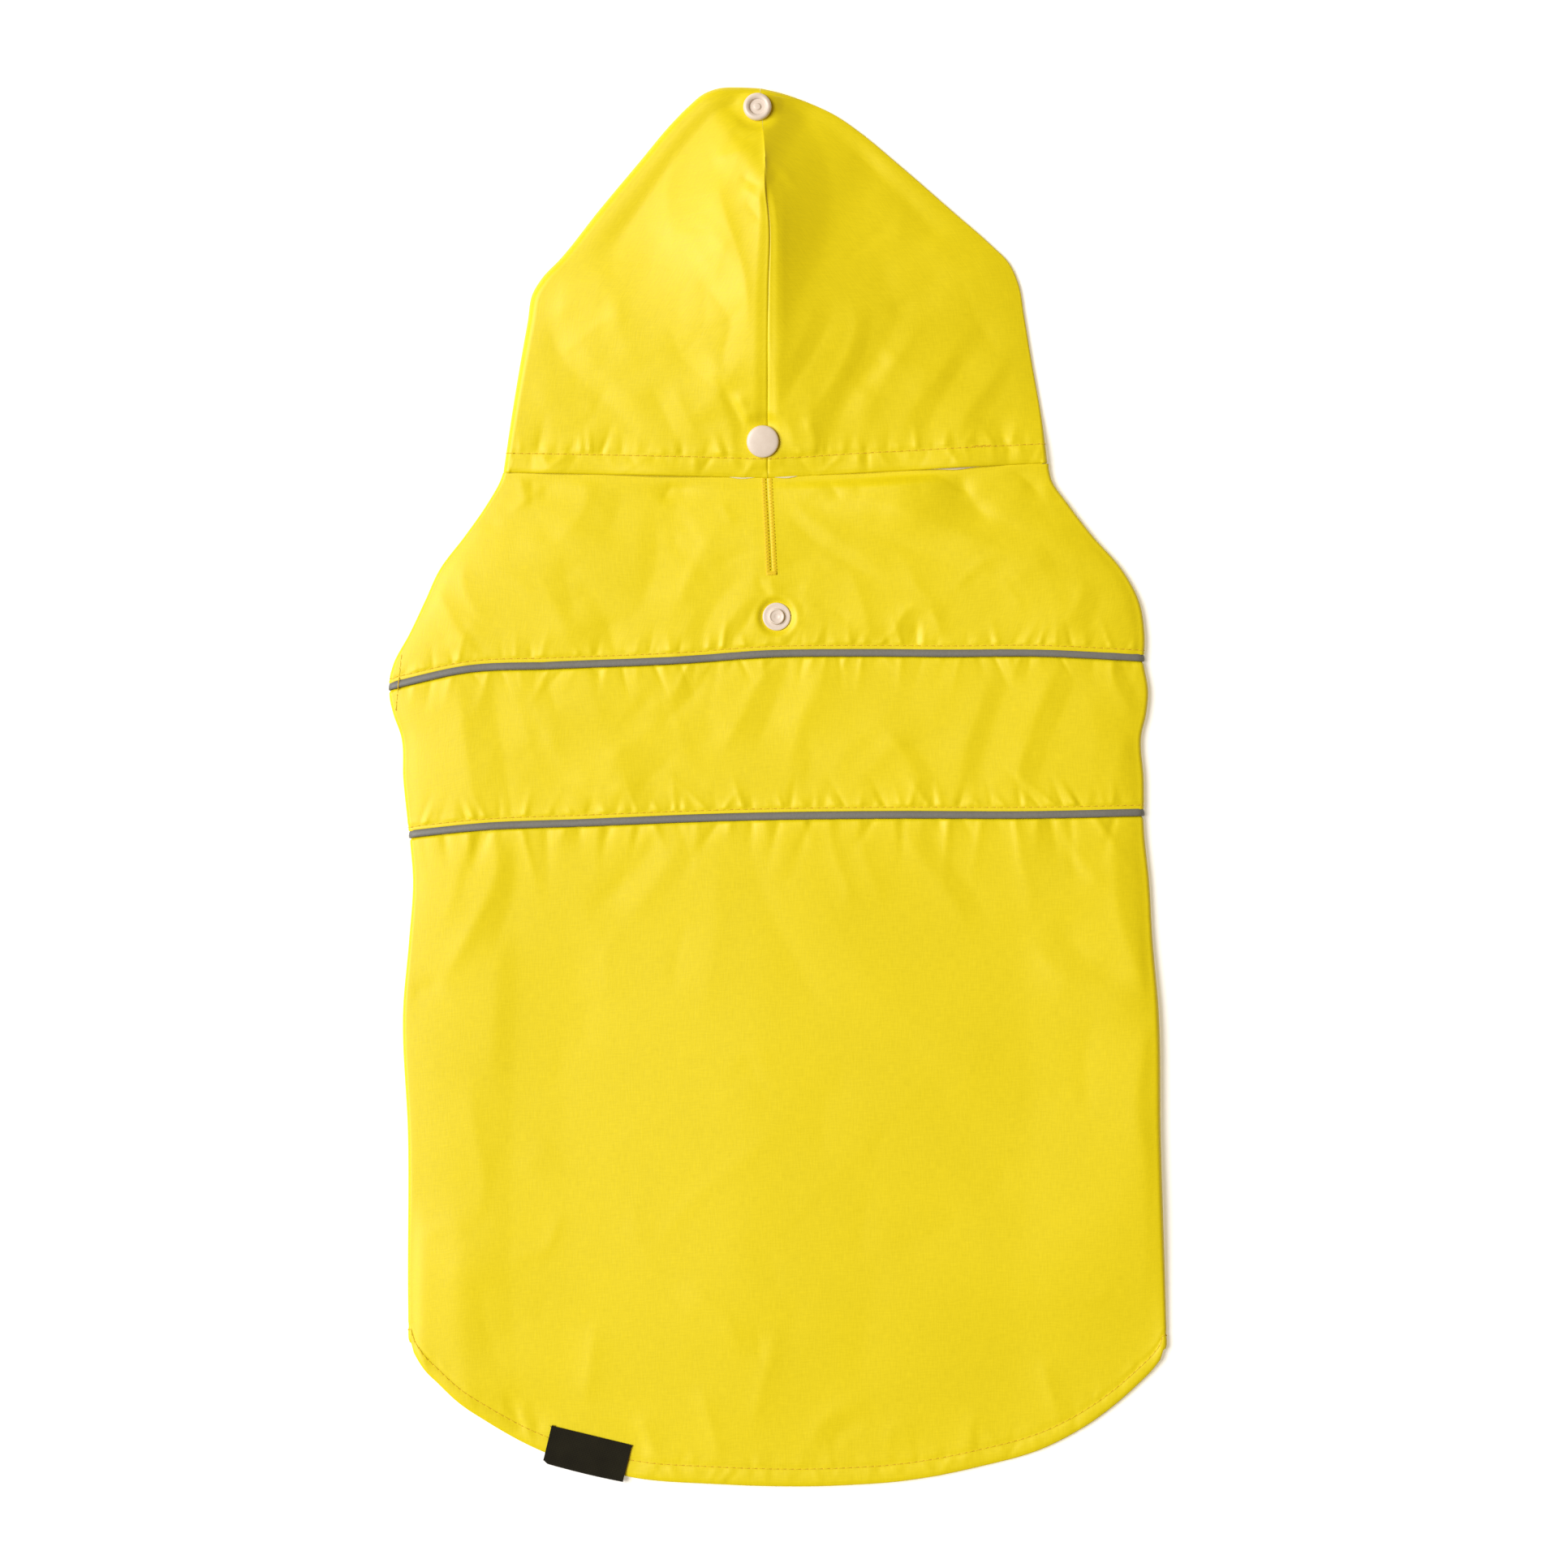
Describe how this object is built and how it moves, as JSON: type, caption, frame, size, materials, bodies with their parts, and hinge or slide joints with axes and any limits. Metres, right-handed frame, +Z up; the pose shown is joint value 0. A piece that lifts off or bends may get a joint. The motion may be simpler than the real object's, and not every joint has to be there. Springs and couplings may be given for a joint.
{
  "type": "dog raincoat",
  "caption": "Yellow dog raincoat with a hood, grey reflective pipings, a leash slot and plastic snaps, laid flat with its back up.",
  "frame": {"origin": "centre of the coat's bounding box, on the floor that it lies on", "axes": "+Y towards the crown of the hood, +X across the back, +Z up out of the back"},
  "size_m": [0.2997, 0.5371, 0.0199],
  "materials": {
    "shell_cloth": "smooth, slightly glossy waterproof cloth",
    "piping": "reflective grey tape",
    "lining": "cream lining",
    "snap": "satin off-white plastic",
    "label": "woven black"
  },
  "bodies": {
    "root": {"yoke": "shell_cloth", "band": "shell_cloth", "skirt": "shell_cloth", "belly_panel": "shell_cloth", "hood_left": "shell_cloth", "hood_right": "shell_cloth", "piping_upper": "piping", "piping_lower": "piping", "hood_lining": "lining", "hood_cap_snap": "snap", "crown_socket_snap": "snap", "back_stud_snap": "snap", "label": "label"}
  },
  "joints": []
}
